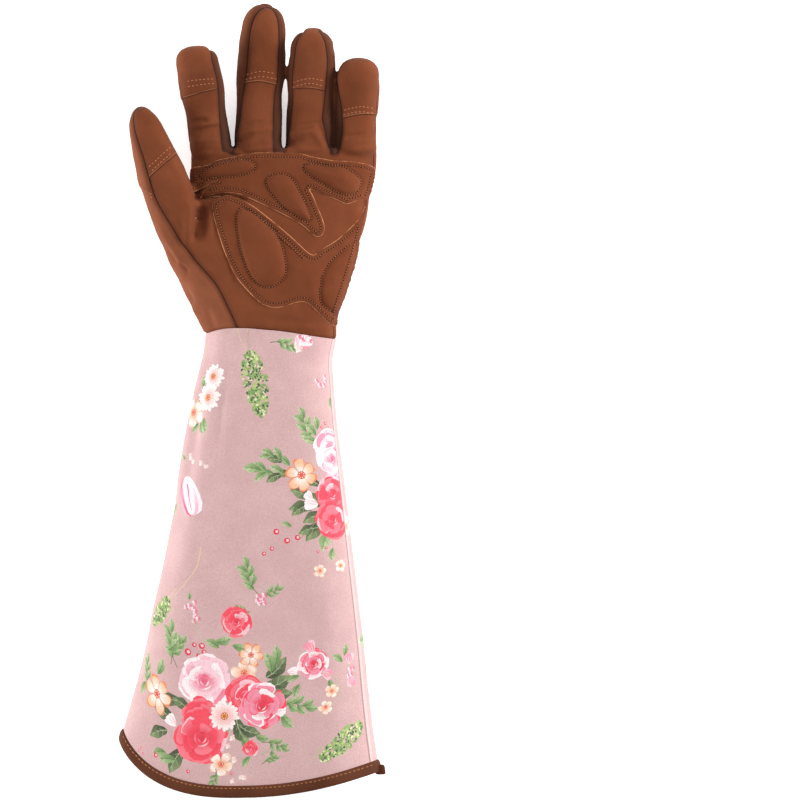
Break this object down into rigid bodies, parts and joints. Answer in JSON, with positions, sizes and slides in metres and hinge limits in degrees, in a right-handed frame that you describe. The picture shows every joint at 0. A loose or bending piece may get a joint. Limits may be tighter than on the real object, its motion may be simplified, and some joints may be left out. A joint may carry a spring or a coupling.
{
  "type": "rose pruning gauntlet",
  "caption": "Long garden glove for the left hand: a padded leather hand with capped fingertips and a flared floral cloth sleeve to the elbow, lying palm up.",
  "frame": {"origin": "the middle of the glove's outline at the level of what it lies on", "axes": "+Y from the hem to the fingertips, -X towards the thumb, +Z out of the palm, which faces up"},
  "size_m": [0.1638, 0.487, 0.0627],
  "materials": {
    "palm_leather": "soft matt suede",
    "back_leather": "soft matt suede",
    "patch_leather": "soft matt suede, padded and stitched",
    "floral_cloth": "printed canvas, dusty pink with roses, daisies and leaves",
    "hem_leather": "folded and stitched edge strip"
  },
  "bodies": {
    "root": {"palm_panel": "palm_leather", "back_panel": "back_leather", "fourchette_index_middle": "back_leather", "fourchette_middle_ring": "back_leather", "fourchette_ring_little": "back_leather", "palm_patch": "patch_leather", "index_tip_cap": "palm_leather", "middle_tip_cap": "palm_leather", "ring_tip_cap": "palm_leather", "little_tip_cap": "palm_leather", "thumb_tip_cap": "palm_leather", "thumb_back_cap": "back_leather", "sleeve": "floral_cloth", "hem_binding": "hem_leather"}
  },
  "joints": []
}
